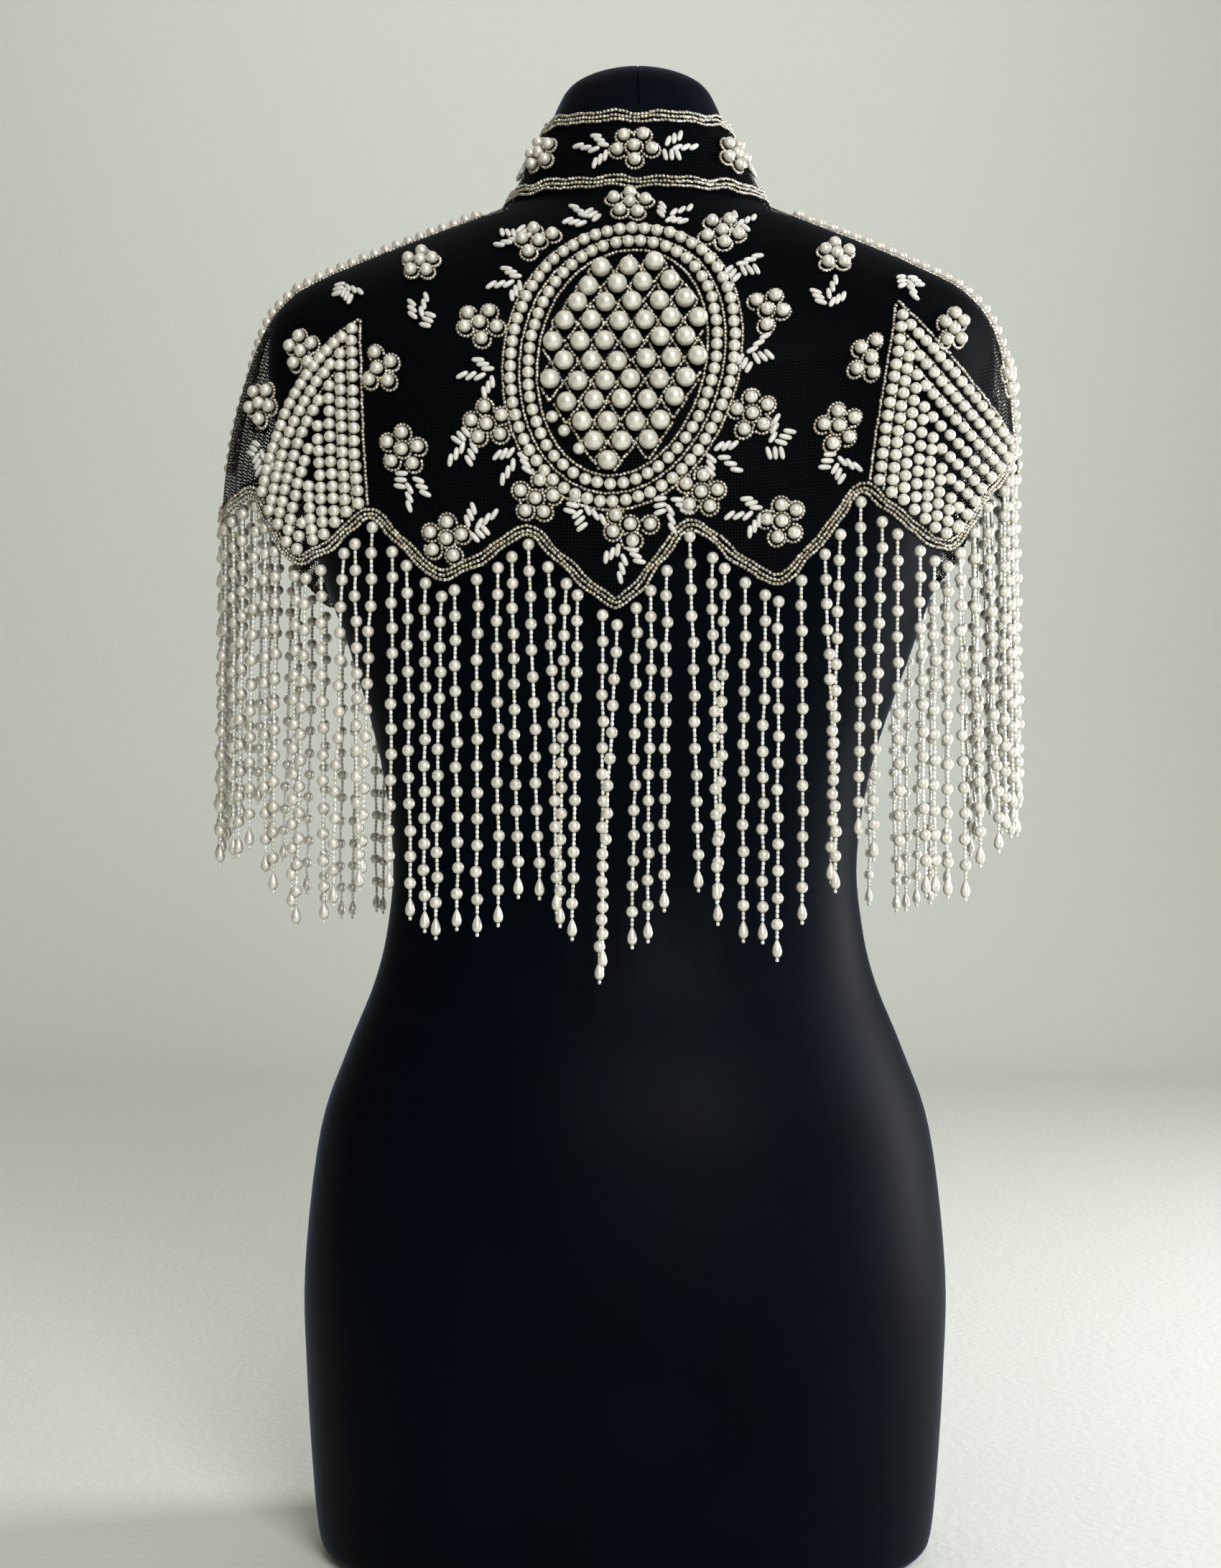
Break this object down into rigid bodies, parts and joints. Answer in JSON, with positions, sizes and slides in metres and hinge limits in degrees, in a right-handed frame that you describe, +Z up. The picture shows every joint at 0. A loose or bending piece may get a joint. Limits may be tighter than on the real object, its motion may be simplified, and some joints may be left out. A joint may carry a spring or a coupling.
{
  "type": "beaded capelet on a dress form",
  "caption": "Short stand-collar net capelet with a scalloped, pearl-beaded hem and a long pearl fringe, standing on a smooth limbless dress form.",
  "frame": {"origin": "middle of the flat base that the dress form stands on, below the middle of the shoulder line", "axes": "+Z up from the flat base; the wearer's back faces -Y, the front faces +Y and the wearer's right is +X"},
  "size_m": [0.4326, 0.2559, 0.7795],
  "materials": {
    "cotton_jersey": "matt near-black cotton jersey stretched over a papier-mache body",
    "nylon_net": "fine see-through black nylon net",
    "seed_bead": "silver-lined glass seed beads with a faint rainbow",
    "imitation_pearl": "cream nacre lacquer with a soft gloss"
  },
  "bodies": {
    "root": {"dress_form": "cotton_jersey", "back_panel": "nylon_net", "left_front_panel": "nylon_net", "right_front_panel": "nylon_net", "collar": "nylon_net", "collar_top_trim": "seed_bead", "collar_base_trim": "seed_bead", "back_hem_trim": "seed_bead", "left_hem_trim": "seed_bead", "right_hem_trim": "seed_bead", "left_front_trim": "seed_bead", "right_front_trim": "seed_bead", "left_shoulder_row": "imitation_pearl", "right_shoulder_row": "imitation_pearl", "back_medallion": "imitation_pearl", "back_left_wing": "imitation_pearl", "back_right_wing": "imitation_pearl", "front_left_wing": "imitation_pearl", "front_right_wing": "imitation_pearl", "back_fringe": "imitation_pearl", "left_fringe": "imitation_pearl", "right_fringe": "imitation_pearl", "collar_button": "imitation_pearl"}
  },
  "joints": []
}
